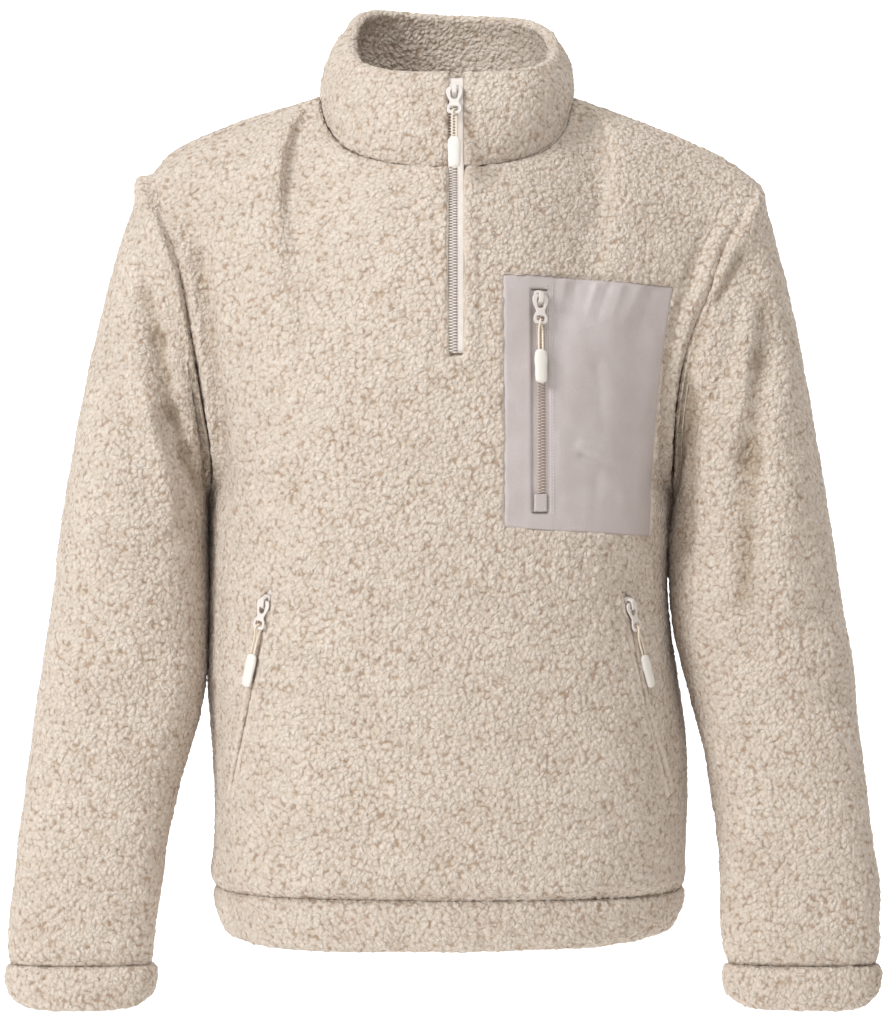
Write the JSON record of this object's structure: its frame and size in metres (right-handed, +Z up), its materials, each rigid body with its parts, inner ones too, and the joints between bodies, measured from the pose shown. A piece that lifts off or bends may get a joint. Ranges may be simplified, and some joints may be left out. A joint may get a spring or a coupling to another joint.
{
  "type": "sherpa fleece pullover jacket",
  "caption": "A filled-out, hollow sherpa fleece pullover with a stand collar, a short front zip, a woven zipped chest pocket, slanted hand pockets and band cuffs and hem.",
  "frame": {"origin": "middle of the base of the neck opening, level with the shoulders' height where the garment hangs on its wearer", "axes": "+Z up the wearer's body, -Y towards the front of the garment, +X to the right of a person who looks at the front"},
  "size_m": [0.6873, 0.2623, 0.7967],
  "materials": {
    "fleece": "curly sherpa pile, matte",
    "satin": "woven, soft sheen",
    "tape": "woven tape, matte",
    "painted_metal": "satin",
    "cord": "braided, matte",
    "moulded_end": "matte"
  },
  "bodies": {
    "garment": {"front_panel": "fleece", "back_panel": "fleece", "sleeve_left": "fleece", "sleeve_right": "fleece", "cuff_left": "fleece", "cuff_right": "fleece", "collar": "fleece", "hem_band": "fleece", "chest_pocket": "satin", "chest_zip_stop": "satin", "front_zip": "tape", "chest_zip": "tape", "pocket_left_zip": "tape", "pocket_right_zip": "tape", "front_slider": "painted_metal", "chest_slider": "painted_metal", "pocket_left_slider": "painted_metal", "pocket_right_slider": "painted_metal"},
    "front_puller": {"front_pull_tab": "painted_metal", "front_pull_cord": "cord", "front_pull_end": "moulded_end"},
    "chest_puller": {"chest_pull_tab": "painted_metal", "chest_pull_cord": "cord", "chest_pull_end": "moulded_end"},
    "pocket_left_puller": {"pocket_left_pull_tab": "painted_metal", "pocket_left_pull_cord": "cord", "pocket_left_pull_end": "moulded_end"},
    "pocket_right_puller": {"pocket_right_pull_tab": "painted_metal", "pocket_right_pull_cord": "cord", "pocket_right_pull_end": "moulded_end"}
  },
  "joints": [
    {"name": "front_pull_hinge", "type": "hinge", "parent": "garment", "child": "front_puller", "pos_m": [0.00302, -0.09038, 0.00986], "axis": [-1, -0.0077, 0.0027], "range_deg": [0, 150]},
    {"name": "chest_pull_hinge", "type": "hinge", "parent": "garment", "child": "chest_puller", "pos_m": [0.06879, -0.11452, -0.15212], "axis": [-0.9379, -0.3417, 0.06], "range_deg": [0, 150]},
    {"name": "pocket_left_pull_hinge", "type": "hinge", "parent": "garment", "child": "pocket_left_puller", "pos_m": [-0.14292, -0.10668, -0.38591], "axis": [-0.7351, 0.6335, 0.2414], "range_deg": [0, 150]},
    {"name": "pocket_right_pull_hinge", "type": "hinge", "parent": "garment", "child": "pocket_right_puller", "pos_m": [0.13919, -0.09527, -0.38789], "axis": [-0.5754, -0.7683, -0.2803], "range_deg": [0, 150]}
  ]
}
